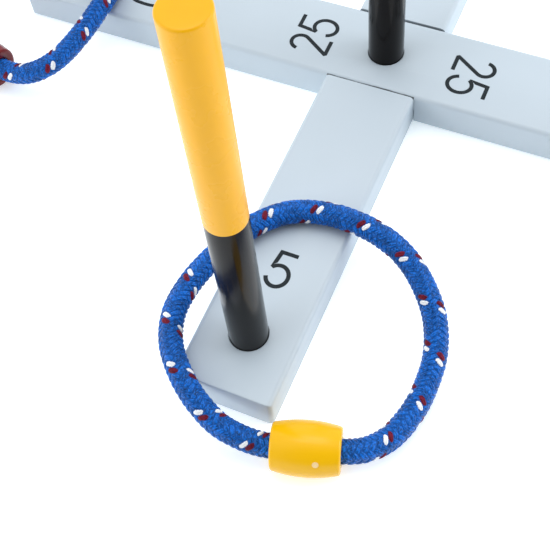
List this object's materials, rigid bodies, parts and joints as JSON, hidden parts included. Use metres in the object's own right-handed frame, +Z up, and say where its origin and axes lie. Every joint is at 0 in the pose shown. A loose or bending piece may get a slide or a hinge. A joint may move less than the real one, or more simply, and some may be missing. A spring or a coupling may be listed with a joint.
{
  "type": "ring toss set",
  "caption": "Cross-shaped ring toss base of half-lapped boards, with upright dowel pegs in bored sockets, and rope rings closed by barrel beads.",
  "frame": {"origin": "middle of the cross, on the boards' undersides, which is the surface that the set stands on", "axes": "+X along the upper board, +Y along the lower board, +Z up along the pegs"},
  "size_m": [0.6836, 0.5792, 0.285],
  "materials": {
    "board_grey": "pale blue-grey satin paint on planed softwood",
    "paint_yellow": "yellow satin lacquer; the near peg is black below its colour",
    "paint_red": "dark red satin lacquer; the left peg is black below its colour",
    "paint_green": "green satin lacquer; the far peg is black below its colour",
    "paint_blue": "blue satin lacquer; the right peg is black below its colour",
    "paint_orange": "orange satin lacquer; the centre peg is black below its colour",
    "rope_blue": "blue braided multifilament rope with red and white tracer stitches",
    "pin_wood": "bare pale hardwood"
  },
  "bodies": {
    "board_lower": {"board_lower": "board_grey"},
    "board_upper": {"board_upper": "board_grey"},
    "peg_centre": {"peg_centre": "paint_orange"},
    "peg_near": {"peg_near": "paint_yellow"},
    "peg_far": {"peg_far": "paint_green"},
    "peg_left": {"peg_left": "paint_red"},
    "peg_right": {"peg_right": "paint_blue"},
    "ring_near": {"ring_near_rope": "rope_blue", "ring_near_bead": "paint_yellow", "ring_near_pin_a": "pin_wood", "ring_near_pin_b": "pin_wood"},
    "ring_left": {"ring_left_rope": "rope_blue", "ring_left_bead": "paint_red", "ring_left_pin_a": "pin_wood", "ring_left_pin_b": "pin_wood"},
    "ring_far": {"ring_far_rope": "rope_blue", "ring_far_bead": "paint_green", "ring_far_pin_a": "pin_wood", "ring_far_pin_b": "pin_wood"},
    "ring_right": {"ring_right_rope": "rope_blue", "ring_right_bead": "paint_blue", "ring_right_pin_a": "pin_wood", "ring_right_pin_b": "pin_wood"}
  },
  "joints": [
    {"name": "board_upper_lift", "type": "slide", "parent": "board_lower", "child": "board_upper", "axis": [0, 0, 1], "range_m": [0, 0.03]},
    {"name": "peg_centre_pull", "type": "slide", "parent": "board_upper", "child": "peg_centre", "axis": [0, 0, 1], "range_m": [0, 0.05]},
    {"name": "peg_near_pull", "type": "slide", "parent": "board_lower", "child": "peg_near", "axis": [0, 0, 1], "range_m": [0, 0.05]},
    {"name": "peg_far_pull", "type": "slide", "parent": "board_lower", "child": "peg_far", "axis": [0, 0, 1], "range_m": [0, 0.05]},
    {"name": "peg_left_pull", "type": "slide", "parent": "board_upper", "child": "peg_left", "axis": [0, 0, 1], "range_m": [0, 0.05]},
    {"name": "peg_right_pull", "type": "slide", "parent": "board_upper", "child": "peg_right", "axis": [0, 0, 1], "range_m": [0, 0.05]},
    {"name": "ring_near_lift", "type": "slide", "parent": "board_lower", "child": "ring_near", "axis": [0, 0, 1], "range_m": [0, 0.29]},
    {"name": "ring_left_lift", "type": "slide", "parent": "board_upper", "child": "ring_left", "axis": [0, 0, 1], "range_m": [0, 0.29]},
    {"name": "ring_far_lift", "type": "slide", "parent": "board_lower", "child": "ring_far", "axis": [0, 0, 1], "range_m": [0, 0.29]},
    {"name": "ring_right_lift", "type": "slide", "parent": "board_upper", "child": "ring_right", "axis": [0, 0, 1], "range_m": [0, 0.29]}
  ]
}
